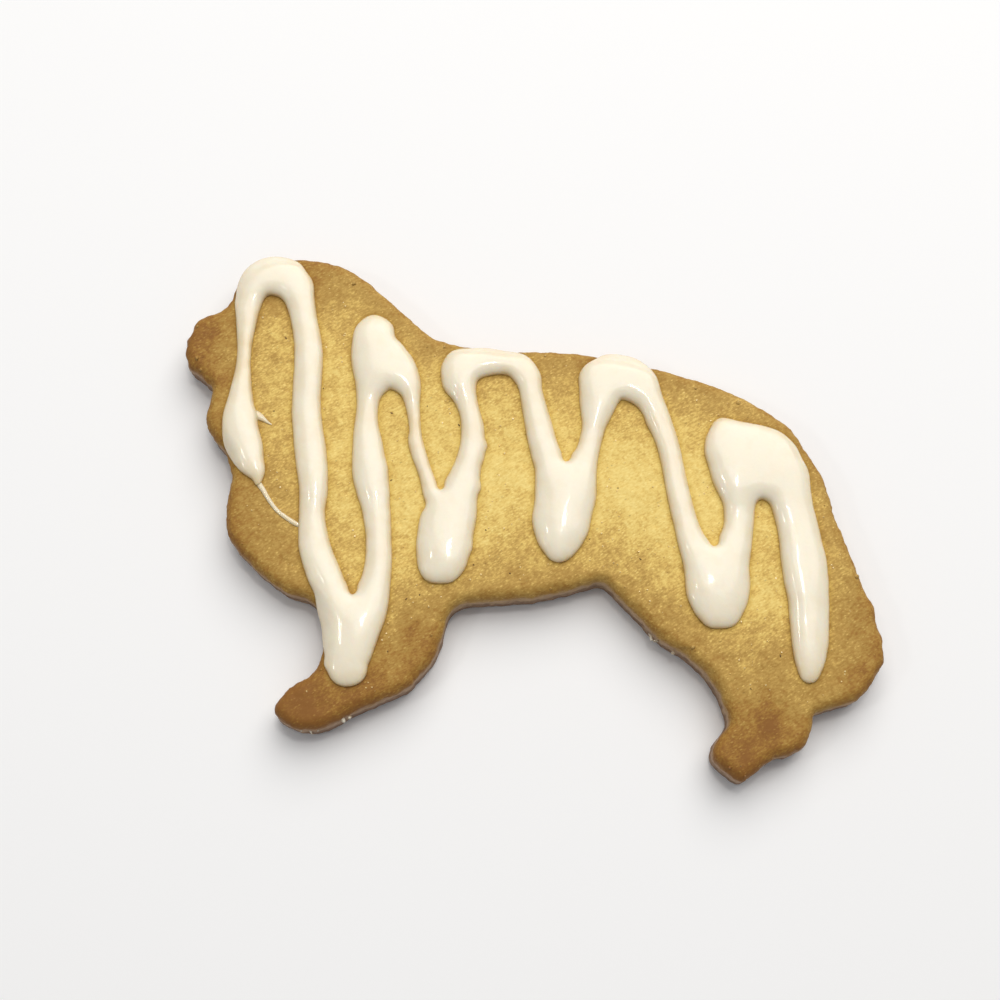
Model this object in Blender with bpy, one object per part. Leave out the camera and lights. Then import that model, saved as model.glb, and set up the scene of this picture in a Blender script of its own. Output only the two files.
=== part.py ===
"""A dog-shaped cookie with one zigzag line of thick white icing, lying flat on its underside.

The dog looks towards -X, its back is towards +Y and the iced face is up, along +Z. The origin is
at the middle of the footprint, on the surface that the cookie rests on. The sizes below are in
millimetres. The biscuit is a rolled slab cut to the dog's outline. The icing is a row of beads,
each drawn as a line of points with the bead's width at each, and all are fused to the biscuit.
"""

import math

import bmesh
import bpy
import numpy as np
from mathutils import Vector, geometry, noise

MM = 0.001

# The slab of baked dough.
THICKNESS = 6.3
SHOULDER_RISE = 1.9
SHOULDER_RUN = 2.1
SHOULDER_DEPTHS = (0.3, 0.9, 2.1)
FOOT_RINGS = ((1.2, 0.0), (0.4, 0.1), (0.0, 0.4))
SWELL_HEIGHT = 0.14
SWELL_LENGTH = 9.0

# How closely the curves and faces are spaced.
CURVE_SAMPLES = 20
OUTLINE_STEP = 2.2
TOP_STEP = 2.7
LEAST_DEPTH_SHARE = 0.93
NET_TOLERANCE = 1e-6
CREASE_ANGLE = 50.0

# The icing's beads.
BEAD_STEP = 1.5
BEAD_RISE = 0.72
BEAD_SINK = 0.9
BEAD_FOOT_SPREAD = 0.85
BEAD_ARC_SIDES = 6
BEAD_END_ANGLES = (35.0, 62.0, 82.0)
DRAPE_FALL = 1.3
DRAPE_OUT = 1.6
DRAPE_IN = 2.2

BISCUIT_COLOUR = (0.55, 0.36, 0.115)
BISCUIT_ROUGHNESS = 0.8
ICING_COLOUR = (0.86, 0.8, 0.66)
ICING_ROUGHNESS = 0.25

# The dog's outline, clockwise seen from above, as (x, y).
OUTLINE = {
    "crown": [(-47.2, 29.2), (-46.0, 31.7), (-42.6, 33.9), (-37.4, 35.0), (-33.4, 34.8), (-30.1, 33.8)],
    "neck": [(-25.4, 31.0), (-20.5, 27.3), (-17.4, 25.2), (-14.2, 24.3)],
    "back": [
        (-6.6, 24.0), (-1.4, 24.6), (3.9, 25.0), (11.7, 24.6), (20.6, 23.5), (29.7, 21.2), (36.6, 17.7),
    ],
    "rump": [(39.3, 14.8), (42.5, 10.5), (44.5, 5.5), (47.1, 0.5), (49.6, -5.4)],
    "tail": [(51.2, -7.8), (52.1, -11.0), (53.4, -13.7), (52.9, -17.0), (50.1, -21.2), (47.2, -22.8)],
    "hock": [(44.2, -24.3), (43.7, -26.5), (43.0, -28.8)],
    "hind paw": [
        (41.2, -30.3), (38.7, -31.3), (36.5, -33.4), (34.3, -34.9), (30.8, -32.7), (30.4, -30.5),
    ],
    "hind leg": [
        (31.5, -28.2), (32.0, -26.2), (29.0, -21.1), (25.7, -18.5), (22.2, -16.8), (17.7, -13.4),
    ],
    "belly": [(13.9, -10.1), (11.9, -9.1), (8.6, -10.4), (3.7, -12.2), (-2.0, -13.5), (-6.3, -14.3)],
    "fore leg": [
        (-8.4, -15.4), (-9.4, -17.6), (-9.6, -20.4), (-10.5, -23.4), (-12.2, -25.9), (-14.3, -28.3),
    ],
    "fore paw": [
        (-20.5, -31.9), (-23.4, -34.1), (-26.4, -35.2), (-29.1, -35.0), (-31.4, -33.5), (-31.2, -31.6),
    ],
    "wrist": [(-29.5, -29.4), (-27.2, -27.4), (-26.2, -25.0)],
    "chest": [
        (-26.3, -22.0), (-27.1, -18.7), (-29.2, -16.8), (-32.2, -16.1), (-35.3, -14.6), (-38.9, -12.0),
    ],
    "breast": [(-41.9, -9.3), (-43.1, -5.9), (-43.4, -0.6), (-44.5, 3.3)],
    "throat": [(-46.5, 5.3), (-48.2, 7.7), (-48.6, 9.9), (-48.4, 12.7)],
    "muzzle": [
        (-49.8, 14.6), (-52.1, 16.1), (-53.4, 18.6), (-52.7, 22.3), (-51.1, 24.1), (-48.9, 25.2),
        (-47.7, 27.0),
    ],
}

# The icing's line from the chest to the rump, stroke by stroke, as (x, y, width of the bead).
STROKES = {
    "cheek": [
        (-38.9, -0.8, 1.3), (-39.5, 0.6, 3.2), (-40.8, 2.4, 5.0), (-42.2, 4.9, 5.7), (-43.2, 8.2, 4.9),
        (-43.6, 12.4, 3.4), (-44.0, 17.3, 2.2), (-44.4, 21.3, 2.5), (-44.8, 26.6, 3.9),
    ],
    "first fall": [
        (-44.8, 26.6, 3.9), (-44.5, 29.8, 4.9), (-43.2, 31.5, 5.7), (-41.1, 32.0, 5.7),
        (-38.6, 30.9, 5.3), (-37.2, 28.0, 4.5), (-36.1, 24.8, 3.9), (-34.6, 19.8, 4.2),
        (-33.7, 11.5, 4.3), (-31.8, 3.9, 4.7), (-30.8, -0.4, 4.2), (-30.4, -4.5, 3.8),
        (-29.4, -9.0, 4.5), (-26.6, -14.6, 5.1), (-24.3, -18.6, 6.0), (-23.0, -22.0, 6.5),
        (-22.0, -26.0, 5.6),
    ],
    "second rise": [
        (-21.9, -23.6, 6.2), (-20.6, -17.2, 6.0), (-19.9, -13.3, 4.3), (-20.1, -8.6, 3.8),
        (-21.2, -2.9, 4.1), (-22.8, 1.9, 5.2), (-23.4, 4.6, 5.0), (-24.5, 9.6, 3.6), (-24.8, 13.4, 3.4),
        (-24.5, 16.9, 5.6), (-24.5, 20.0, 7.4), (-25.2, 23.4, 6.6),
    ],
    "second fall": [
        (-24.8, 22.4, 6.8), (-22.8, 20.2, 6.2), (-20.8, 18.4, 5.5), (-19.2, 16.1, 3.7),
        (-18.3, 13.9, 2.2), (-17.4, 10.2, 1.8), (-16.9, 7.7, 2.2), (-14.8, 3.2, 2.1), (-13.3, 0.0, 2.9),
        (-12.1, -1.9, 4.9), (-11.2, -4.5, 7.5), (-10.9, -8.6, 7.4),
    ],
    "third rise": [
        (-10.7, -6.0, 7.8), (-10.4, -1.6, 7.1), (-9.3, 3.3, 4.7), (-8.7, 7.6, 3.9), (-9.0, 11.0, 3.4),
        (-9.9, 13.8, 3.1), (-11.0, 16.2, 3.7), (-12.0, 18.5, 5.3), (-11.6, 20.7, 5.6),
    ],
    "third fall": [
        (-11.8, 20.6, 5.4), (-8.9, 21.7, 4.9), (-6.0, 22.0, 4.0), (-3.7, 21.7, 4.1), (-2.0, 20.0, 4.0),
        (-1.2, 17.8, 3.4), (0.3, 13.5, 4.0), (2.0, 8.9, 4.3), (3.4, 6.0, 5.2), (4.8, 3.2, 7.3),
        (5.3, -0.4, 8.1), (5.3, -4.0, 6.9),
    ],
    "fourth rise": [
        (5.5, -1.0, 8.1), (6.0, 2.9, 8.1), (6.8, 6.0, 5.8), (7.9, 8.9, 3.6), (8.4, 12.0, 3.3),
        (8.6, 14.1, 3.7), (8.8, 17.5, 5.6), (9.3, 20.8, 7.2),
    ],
    "fourth fall": [
        (9.4, 21.0, 7.2), (11.3, 22.0, 7.5), (13.9, 21.1, 6.6), (16.1, 18.2, 4.9), (18.2, 15.1, 3.7),
        (19.9, 11.3, 3.3), (22.0, 4.6, 3.4), (24.2, -1.4, 4.0), (26.3, -4.7, 6.0), (28.1, -7.4, 8.3),
        (29.0, -10.1, 7.6),
    ],
    "fifth rise": [
        (28.9, -8.5, 8.9), (29.4, -4.8, 7.0), (30.4, -2.0, 5.2), (30.9, 1.2, 4.3), (30.6, 5.2, 4.9),
        (29.8, 9.3, 7.6), (29.2, 12.6, 8.0),
    ],
    "fifth fall": [
        (29.0, 13.0, 8.2), (31.2, 12.6, 8.8), (34.0, 11.8, 9.2), (36.4, 10.1, 7.9), (37.7, 7.0, 6.3),
        (39.2, 2.6, 6.0), (40.6, -2.9, 6.5), (41.6, -7.6, 6.1), (42.3, -12.9, 5.3), (42.5, -16.2, 4.2),
        (42.6, -19.0, 2.4),
    ],
}


def clear_scene():
    for obj in list(bpy.data.objects):
        bpy.data.objects.remove(obj)


def make_material(name, colour, roughness):
    material = bpy.data.materials.new(name)
    material.use_nodes = True
    shader = material.node_tree.nodes["Principled BSDF"]
    shader.inputs["Base Color"].default_value = (*colour, 1.0)
    shader.inputs["Roughness"].default_value = roughness
    shader.inputs["Metallic"].default_value = 0.0
    return material


def smooth_line(points, step, closed=False):
    """The points joined by a smooth curve through all of them, read again about every step."""
    points = np.array(points, float)
    if closed:
        knots = np.vstack([points[-1:], points, points[:2]])
    else:
        knots = np.vstack([2 * points[0] - points[1], points, 2 * points[-1] - points[-2]])
    dense = []
    for before, start, end, after in zip(knots, knots[1:], knots[2:], knots[3:]):
        t = np.linspace(0.0, 1.0, CURVE_SAMPLES, endpoint=False)[:, None]
        linear = end - before
        square = 2 * before - 5 * start + 4 * end - after
        cube = 3 * start - 3 * end + after - before
        dense.append(start + 0.5 * (linear * t + square * t**2 + cube * t**3))
    dense = np.vstack(dense + [knots[-2:-1]])
    along = np.append(0.0, np.cumsum(np.linalg.norm(np.diff(dense[:, :2], axis=0), axis=1)))
    count = max(2, round(along[-1] / step) + 1)
    wanted = np.linspace(0.0, along[-1], count)
    if closed:
        wanted = wanted[:-1]
    return np.column_stack([np.interp(wanted, along, column) for column in dense.T])


def centred_outline():
    """The outline, its offset from the middle of its box, and its outward directions."""
    corners = [point for stretch in OUTLINE.values() for point in stretch]
    ring = smooth_line(corners, OUTLINE_STEP, closed=True)
    middle = (ring.min(axis=0) + ring.max(axis=0)) / 2
    run = np.roll(ring, -1, axis=0) - np.roll(ring, 1, axis=0)
    outward = np.column_stack([-run[:, 1], run[:, 0]])
    return ring - middle, middle, outward / np.linalg.norm(outward, axis=1, keepdims=True)


def depth_inside(points, ring):
    """How far each point is inside the ring, negative outside it."""
    starts = ring
    runs = np.roll(ring, -1, axis=0) - ring
    offset = points[:, None, :] - starts
    share = np.clip((offset * runs).sum(axis=2) / (runs * runs).sum(axis=1), 0.0, 1.0)
    distance = np.linalg.norm(offset - share[..., None] * runs, axis=2).min(axis=1)
    ends = starts + runs
    level = points[:, 1:2]
    crosses = (starts[:, 1] > level) != (ends[:, 1] > level)
    rise = np.where(runs[:, 1] == 0.0, 1.0, runs[:, 1])
    meets = starts[:, 0] + (level - starts[:, 1]) * runs[:, 0] / rise
    inside = (crosses & (points[:, :1] < meets)).sum(axis=1) % 2 == 1
    return np.where(inside, distance, -distance)


def top_height(points, depth):
    """The slab's upper face: a rounded shoulder all round, and a gently swollen middle."""
    run = np.clip(1.0 - depth / SHOULDER_RUN, 0.0, 1.0)
    shoulder = SHOULDER_RISE * (1.0 - np.sqrt(1.0 - run**2))
    swell = [noise.noise(Vector((x, y, 0.0)) / SWELL_LENGTH) for x, y in points]
    return THICKNESS - shoulder + SWELL_HEIGHT * np.array(swell) * (1.0 - run)


def drape_height(points, ring):
    """The level that the icing lies on, which falls softly over the slab's edge."""
    depth = depth_inside(points, ring)
    share = np.clip((depth + DRAPE_OUT) / (DRAPE_OUT + DRAPE_IN), 0.0, 1.0)
    soft = share * share * (3.0 - 2.0 * share)
    return THICKNESS - DRAPE_FALL * (1.0 - soft)


def top_points(ring, outward):
    """The ring, lines of points inside it down the shoulder, and an even spread over the middle."""
    kept = [ring]
    for depth in SHOULDER_DEPTHS:
        line = ring - outward * depth
        true_depth = depth_inside(line, ring)
        kept.append(line[true_depth > LEAST_DEPTH_SHARE * depth])
    low, high = ring.min(axis=0), ring.max(axis=0)
    row_step = TOP_STEP * math.sqrt(0.75)
    rows = np.arange(low[1], high[1], row_step)
    for number, y in enumerate(rows):
        x = np.arange(low[0] + (number % 2) * TOP_STEP / 2, high[0], TOP_STEP)
        row = np.column_stack([x, np.full(len(x), y)])
        kept.append(row[depth_inside(row, ring) > SHOULDER_DEPTHS[-1] + TOP_STEP / 2])
    return np.vstack(kept)


def add_band(mesh, upper, lower):
    """Faces between two rings of vertices, given clockwise from above, that face outwards."""
    for number in range(len(upper)):
        following = (number + 1) % len(upper)
        mesh.faces.new((upper[number], upper[following], lower[following], lower[number]))


def make_biscuit(ring, outward):
    """The slab: its upper face as one net of triangles, and rings down the wall to a flat foot."""
    flat = top_points(ring, outward)
    edges = [(number, (number + 1) % len(ring)) for number in range(len(ring))]
    spots, _, faces, *_ = geometry.delaunay_2d_cdt(
        [Vector(point) for point in flat], edges, [tuple(range(len(ring)))[::-1]], 1, NET_TOLERANCE
    )
    spots = np.array([tuple(spot) for spot in spots])
    heights = top_height(spots, depth_inside(spots, ring).clip(min=0.0))
    heights[: len(ring)] = THICKNESS - SHOULDER_RISE
    mesh = bmesh.new()
    top = [mesh.verts.new((*spot, height)) for spot, height in zip(spots, heights)]
    for face in faces:
        mesh.faces.new([top[corner] for corner in face])
    upper = top[: len(ring)]
    for height, inset in FOOT_RINGS:
        lower = [mesh.verts.new((*point, height)) for point in ring - outward * inset]
        add_band(mesh, upper, lower)
        upper = lower
    mesh.faces.new(upper)
    return mesh


def bead_sections(line):
    """Along a stroke with round ends: the middle, the direction and the half width of each section."""
    run = np.gradient(line[:, :2], axis=0)
    run /= np.linalg.norm(run, axis=1, keepdims=True)
    half = line[:, 2] / 2
    sections = [(line[n, :2], run[n], half[n], 1.0) for n in range(len(line))]
    for angle in map(math.radians, BEAD_END_ANGLES):
        reach, shrink = math.sin(angle), math.cos(angle)
        first, last = (line[0, :2], run[0], half[0]), (line[-1, :2], run[-1], half[-1])
        sections.insert(0, (first[0] - first[1] * first[2] * reach, first[1], first[2], shrink))
        sections.append((last[0] + last[1] * last[2] * reach, last[1], last[2], shrink))
    return sections


def make_bead(stroke, middle, ring):
    """One stroke of icing: half an ellipse in section, with its foot sunk into the slab."""
    line = smooth_line(stroke, BEAD_STEP)
    line[:, :2] -= middle
    arc = np.radians(np.linspace(0.0, 180.0, BEAD_ARC_SIDES + 1))
    across = np.concatenate([np.cos(arc), [-BEAD_FOOT_SPREAD, 0.0, BEAD_FOOT_SPREAD]])
    mesh = bmesh.new()
    rings = []
    for centre, run, half, shrink in bead_sections(line):
        rise = BEAD_RISE * math.sqrt(2 * half) * shrink
        up = np.concatenate([rise * np.sin(arc), [-BEAD_SINK] * 3])
        side = np.array([run[1], -run[0]])
        spots = centre + np.outer(across * half * shrink, side)
        levels = drape_height(spots, ring) + up
        rings.append([mesh.verts.new((*spot, level)) for spot, level in zip(spots, levels)])
    for near, far in zip(rings, rings[1:]):
        for number in range(len(near)):
            following = (number + 1) % len(near)
            mesh.faces.new((near[number], near[following], far[following], far[number]))
    mesh.faces.new(rings[0][::-1])
    mesh.faces.new(rings[-1])
    return mesh


def make_object(name, mesh, material, collection):
    bmesh.ops.recalc_face_normals(mesh, faces=mesh.faces)
    bmesh.ops.scale(mesh, vec=(MM, MM, MM), verts=mesh.verts)
    bmesh.ops.triangulate(mesh, faces=mesh.faces)
    data = bpy.data.meshes.new(name)
    mesh.to_mesh(data)
    mesh.free()
    data.materials.append(material)
    obj = bpy.data.objects.new(name, data)
    collection.objects.link(obj)
    return obj


def fuse(base, pieces):
    """One Boolean union of the base with every piece of the collection, applied to the base."""
    modifier = base.modifiers.new("icing", "BOOLEAN")
    modifier.operation = "UNION"
    modifier.operand_type = "COLLECTION"
    modifier.collection = pieces
    modifier.solver = "MANIFOLD"
    modifier.material_mode = "TRANSFER"
    bpy.context.view_layer.objects.active = base
    bpy.ops.object.modifier_apply(modifier=modifier.name)
    for obj in list(pieces.objects):
        bpy.data.objects.remove(obj)
    bpy.data.collections.remove(pieces)


def main():
    clear_scene()
    biscuit = make_material("biscuit", BISCUIT_COLOUR, BISCUIT_ROUGHNESS)
    icing = make_material("icing", ICING_COLOUR, ICING_ROUGHNESS)
    ring, middle, outward = centred_outline()
    cookie = make_object("cookie", make_biscuit(ring, outward), biscuit, bpy.context.scene.collection)
    beads = bpy.data.collections.new("beads")
    bpy.context.scene.collection.children.link(beads)
    for name, stroke in STROKES.items():
        make_object(name, make_bead(stroke, middle, ring), icing, beads)
    fuse(cookie, beads)
    cookie.data.shade_smooth()
    cookie.data.set_sharp_from_angle(angle=math.radians(CREASE_ANGLE))
    print(f"cookie: {len(cookie.data.polygons)} faces")


main()
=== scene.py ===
# %% [markdown]
# # A dog-shaped cookie with a zigzag of icing
# The cookie is a slab of pale golden dough, cut with a dog cutter and baked, with one line of thick
# white icing drizzled over it while it lay flat. This file gives it its looks. It first loads the
# plain solid that says how large the cookie is and where it lies, then makes a detailed biscuit, the
# glossy icing and the small crumbs and crystals in the same place.

# %% Load the frame
import math

import bmesh
import bpy
import numpy as np
from mathutils import Euler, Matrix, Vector, noise


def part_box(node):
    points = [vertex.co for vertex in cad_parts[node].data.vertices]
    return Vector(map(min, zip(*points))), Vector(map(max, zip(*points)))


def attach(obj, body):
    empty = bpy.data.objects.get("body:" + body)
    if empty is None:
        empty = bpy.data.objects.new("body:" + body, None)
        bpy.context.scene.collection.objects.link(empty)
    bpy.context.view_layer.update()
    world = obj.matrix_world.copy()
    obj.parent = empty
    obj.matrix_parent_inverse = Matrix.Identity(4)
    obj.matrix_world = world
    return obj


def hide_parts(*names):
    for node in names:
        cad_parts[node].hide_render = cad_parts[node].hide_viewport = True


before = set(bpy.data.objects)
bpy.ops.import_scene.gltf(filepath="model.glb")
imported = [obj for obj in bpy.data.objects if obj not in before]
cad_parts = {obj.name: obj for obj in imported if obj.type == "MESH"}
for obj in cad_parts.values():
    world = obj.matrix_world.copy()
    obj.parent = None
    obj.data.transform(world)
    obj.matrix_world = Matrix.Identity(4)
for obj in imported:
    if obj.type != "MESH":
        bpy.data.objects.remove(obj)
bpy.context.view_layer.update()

MM = 0.001
cookie_low, cookie_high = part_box("cookie")
cookie_size = [round((high - low) / MM, 1) for low, high in zip(cookie_low, cookie_high)]
print("the solid measures", cookie_size, "mm")

# %% [markdown]
# ## The camera
# The cookie is seen from nearly straight above, a little from the side of its paws, so a narrow strip
# of wall shows under the belly and the paws. The camera looks at the middle of the picture from that
# side, at the distance of a hand-held phone. Its lens follows from how many millimetres the picture
# spans at that distance.

# %% Camera
VIEW_FROM = 7.0
VIEW_HEIGHT = 75.0
VIEW_DISTANCE = 240.0
VIEW_SPAN = 144.9
VIEW_TARGET = (-3.74, 1.04, 6.3)
NEAREST_SEEN = 10.0
SENSOR = 36.0


def direction(around, above):
    """The unit vector towards a place that is seen at these angles, in degrees, from the paws' side."""
    a, e = math.radians(around), math.radians(above)
    return Vector((math.sin(a) * math.cos(e), -math.cos(a) * math.cos(e), math.sin(e)))


def aim(obj, place, target):
    """Puts the object at the place, with its own -Z towards the target and its +Y upwards."""
    obj.location = place
    obj.rotation_euler = (target - place).to_track_quat("-Z", "Y").to_euler()


camera = bpy.data.objects.new("camera", bpy.data.cameras.new("camera"))
bpy.context.scene.collection.objects.link(camera)
camera.data.sensor_width = SENSOR
camera.data.lens = SENSOR * VIEW_DISTANCE / VIEW_SPAN
camera.data.clip_start = NEAREST_SEEN * MM
target = Vector(VIEW_TARGET) * MM
aim(camera, target + direction(VIEW_FROM, VIEW_HEIGHT) * VIEW_DISTANCE * MM, target)
bpy.context.scene.camera = camera
bpy.context.scene.view_settings.view_transform = "Standard"
print("lens", round(camera.data.lens, 1), "mm")

# %% [markdown]
# ## Materials in few words
# A material is a small machine of nodes. A few helpers keep the later cells short: one adds a node
# and sets or links its inputs, and another turns a colour as a paint program shows it into the linear
# light that shaders reckon with. Most finishes need some cloudy noise and a fine bump, so each of the
# two has a helper too.

# %% Node helpers
def paint(red, green, blue):
    """A colour given in steps from 0 to 255, as linear light."""
    steps = (red / 255, green / 255, blue / 255)
    return tuple(((s + 0.055) / 1.055) ** 2.4 if s > 0.04 else s / 12.92 for s in steps) + (1.0,)


def add(tree, kind, inputs=None, **settings):
    """A new node whose inputs are set to values, or linked where the value is another's output."""
    node = tree.nodes.new("ShaderNode" + kind)
    for name, value in settings.items():
        setattr(node, name, value)
    for socket, value in (inputs or {}).items():
        if isinstance(value, bpy.types.NodeSocket):
            tree.links.new(value, node.inputs[socket])
        else:
            node.inputs[socket].default_value = value
    return node


def reckon(tree, operation, first, second=0.0):
    """One step of arithmetic."""
    return add(tree, "Math", {0: first, 1: second}, operation=operation).outputs[0]


def ease(tree, value, low, high, to_low=0.0, to_high=1.0):
    """The value taken smoothly from one range to another."""
    inputs = {"Value": value, "From Min": low, "From Max": high, "To Min": to_low, "To Max": to_high}
    return add(tree, "MapRange", inputs, interpolation_type="SMOOTHSTEP").outputs[0]


def mix(tree, share, first, second, way="MIX"):
    """Two colours mixed by a share."""
    inputs = {0: share, 6: first, 7: second}
    return add(tree, "Mix", inputs, data_type="RGBA", blend_type=way).outputs[2]


def ramp(tree, value, stops):
    """A colour that changes along the value through the given stops."""
    node = add(tree, "ValToRGB", {"Fac": value})
    elements = node.color_ramp.elements
    for number, (place, colour) in enumerate(stops):
        element = elements[number] if number < 2 else elements.new(place)
        element.position = place
        element.color = colour
    return node.outputs["Color"]


def cloudy(tree, scale, detail, roughness=0.5):
    """Noise that is fixed to the object, as a value from 0 to 1."""
    place = add(tree, "TexCoord").outputs["Object"]
    inputs = {"Vector": place, "Scale": scale, "Detail": detail, "Roughness": roughness}
    return add(tree, "TexNoise", inputs).outputs["Fac"]


def bumpy(tree, shader, height, strength, depth):
    """Shades the surface as if the height raised it by up to a depth in mm."""
    bump = add(tree, "Bump", {"Height": height, "Strength": strength, "Distance": depth * MM})
    tree.links.new(bump.outputs[0], shader.inputs["Normal"])


def new_material(name):
    """A material with one Principled shader, its node tree and that shader."""
    material = bpy.data.materials.new(name)
    material.use_nodes = True
    return material, material.node_tree, material.node_tree.nodes["Principled BSDF"]


# %% [markdown]
# ## The table and the light
# The cookie lies on something plain and white. The light is wide and soft and comes mostly from above
# and from behind the dog's back, so the walls on the paws' side are in shade. Three small lamps, one
# almost straight overhead and two on the side of the head, each show as a bright spot on every bead
# of icing, which is how an eye tells that it is glossy.

# %% Floor, room light and lamps
FLOOR_SIZE = 2.4
FLOOR_GAP = 0.00002
FLOOR_COLOUR = (0.93, 0.93, 0.93, 1.0)
FLOOR_ROUGHNESS = 0.9
ROOM_COLOUR = (0.94, 0.96, 1.0, 1.0)
ROOM_LIGHT = 0.28

floor_mesh = bpy.data.meshes.new("floor")
half = FLOOR_SIZE / 2
corners = [(-half, -half), (half, -half), (half, half), (-half, half)]
floor_mesh.from_pydata([(x, y, -FLOOR_GAP) for x, y in corners], [], [(0, 1, 2, 3)])
floor = bpy.data.objects.new("floor", floor_mesh)
bpy.context.scene.collection.objects.link(floor)
table, _, table_shader = new_material("white table")
table_shader.inputs["Base Color"].default_value = FLOOR_COLOUR
table_shader.inputs["Roughness"].default_value = FLOOR_ROUGHNESS
floor_mesh.materials.append(table)

room = bpy.data.worlds.new("room")
room.use_nodes = True
room.node_tree.nodes["Background"].inputs["Color"].default_value = ROOM_COLOUR
room.node_tree.nodes["Background"].inputs["Strength"].default_value = ROOM_LIGHT
bpy.context.scene.world = room

# Each lamp: around and above in degrees, distance and width in mm, power in watts, colour.
LAMPS = {
    "ceiling": (170.0, 54.0, 900.0, 1050.0, 8.1, (1.0, 0.98, 0.95)),
    "overhead": (166.0, 80.0, 500.0, 46.0, 0.17, (1.0, 0.98, 0.95)),
    "shelf": (-100.0, 69.0, 500.0, 36.0, 0.07, (1.0, 0.98, 0.95)),
    "window": (-72.0, 51.0, 500.0, 42.0, 0.1, (1.0, 0.99, 0.97)),
}
for name, (around, above, distance, width, power, colour) in LAMPS.items():
    lamp = bpy.data.lights.new(name, "AREA")
    lamp.shape = "DISK"
    lamp.size = width * MM
    lamp.energy = power
    lamp.color = colour
    holder = bpy.data.objects.new(name, lamp)
    bpy.context.scene.collection.objects.link(holder)
    aim(holder, direction(around, above) * distance * MM, Vector((0.0, 0.0, 0.0)))
print(len(LAMPS), "lamps")

# %% [markdown]
# ## The dog's outline
# A cutter's edge is a smooth bent strip, so the outline is a smooth curve through a few points for
# each part of the dog, clockwise from the crown of its head. The numbers are millimetres.

# %% Outline
OUTLINE = {
    "crown": [(-47.2, 29.2), (-46.0, 31.7), (-42.6, 33.9), (-37.4, 35.0), (-33.4, 34.8), (-30.1, 33.8)],
    "neck": [(-25.4, 31.0), (-20.5, 27.3), (-17.4, 25.2), (-14.2, 24.3)],
    "back": [
        (-6.6, 24.0), (-1.4, 24.6), (3.9, 25.0), (11.7, 24.6), (20.6, 23.5), (29.7, 21.2), (36.6, 17.7),
    ],
    "rump": [(39.3, 14.8), (42.5, 10.5), (44.5, 5.5), (47.1, 0.5), (49.6, -5.4)],
    "tail": [(51.2, -7.8), (52.1, -11.0), (53.4, -13.7), (52.9, -17.0), (50.1, -21.2), (47.2, -22.8)],
    "hock": [(44.2, -24.3), (43.7, -26.5), (43.0, -28.8)],
    "hind paw": [
        (41.2, -30.3), (38.7, -31.3), (36.5, -33.4), (34.3, -34.9), (30.8, -32.7), (30.4, -30.5),
    ],
    "hind leg": [
        (31.5, -28.2), (32.0, -26.2), (29.0, -21.1), (25.7, -18.5), (22.2, -16.8), (17.7, -13.4),
    ],
    "belly": [(13.9, -10.1), (11.9, -9.1), (8.6, -10.4), (3.7, -12.2), (-2.0, -13.5), (-6.3, -14.3)],
    "fore leg": [
        (-8.4, -15.4), (-9.4, -17.6), (-9.6, -20.4), (-10.5, -23.4), (-12.2, -25.9), (-14.3, -28.3),
    ],
    "fore paw": [
        (-20.5, -31.9), (-23.4, -34.1), (-26.4, -35.2), (-29.1, -35.0), (-31.4, -33.5), (-31.2, -31.6),
    ],
    "wrist": [(-29.5, -29.4), (-27.2, -27.4), (-26.2, -25.0)],
    "chest": [
        (-26.3, -22.0), (-27.1, -18.7), (-29.2, -16.8), (-32.2, -16.1), (-35.3, -14.6), (-38.9, -12.0),
    ],
    "breast": [(-41.9, -9.3), (-43.1, -5.9), (-43.4, -0.6), (-44.5, 3.3)],
    "throat": [(-46.5, 5.3), (-48.2, 7.7), (-48.6, 9.9), (-48.4, 12.7)],
    "muzzle": [
        (-49.8, 14.6), (-52.1, 16.1), (-53.4, 18.6), (-52.7, 22.3), (-51.1, 24.1), (-48.9, 25.2),
        (-47.7, 27.0),
    ],
}
CURVE_SAMPLES = 20
OUTLINE_STEP = 0.4


def all_of(table):
    """The entries of every part of a table, one after another."""
    return [entry for entries in table.values() for entry in entries]


def smooth_line(points, step, closed=False):
    """The points joined by a smooth curve through all of them, read again about every step."""
    points = np.array(points, float)
    if closed:
        knots = np.vstack([points[-1:], points, points[:2]])
    else:
        knots = np.vstack([2 * points[0] - points[1], points, 2 * points[-1] - points[-2]])
    dense = []
    for before, start, end, after in zip(knots, knots[1:], knots[2:], knots[3:]):
        t = np.linspace(0.0, 1.0, CURVE_SAMPLES, endpoint=False)[:, None]
        linear = end - before
        square = 2 * before - 5 * start + 4 * end - after
        cube = 3 * start - 3 * end + after - before
        dense.append(start + 0.5 * (linear * t + square * t**2 + cube * t**3))
    dense = np.vstack(dense + [knots[-2:-1]])
    along = np.append(0.0, np.cumsum(np.linalg.norm(np.diff(dense[:, :2], axis=0), axis=1)))
    count = max(2, round(along[-1] / step) + 1)
    wanted = np.linspace(0.0, along[-1], count)
    if closed:
        wanted = wanted[:-1]
    return np.column_stack([np.interp(wanted, along, column) for column in dense.T])


ring = smooth_line(all_of(OUTLINE), OUTLINE_STEP, closed=True)
middle = (ring.min(axis=0) + ring.max(axis=0)) / 2
ring -= middle
print("outline", np.round(ring.max(axis=0) - ring.min(axis=0), 1), "mm,", len(ring), "points")

# %% [markdown]
# ## Maps of the cookie, seen from above
# Much of what follows asks how far a place is from the cookie's edge: dough rises less there, and
# browns more. That is worked out once, on a fine grid, and read from the grid afterwards, which is far
# quicker than measuring again for every point.

# %% Map grid
MAP_STEP = 0.1
MAP_MARGIN = 9.0
HILLS_IN_ROW = 64
# The cosine and the sine of the angle by which the rows of random hills are turned.
HILL_TURN = (0.83, 0.56)

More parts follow.
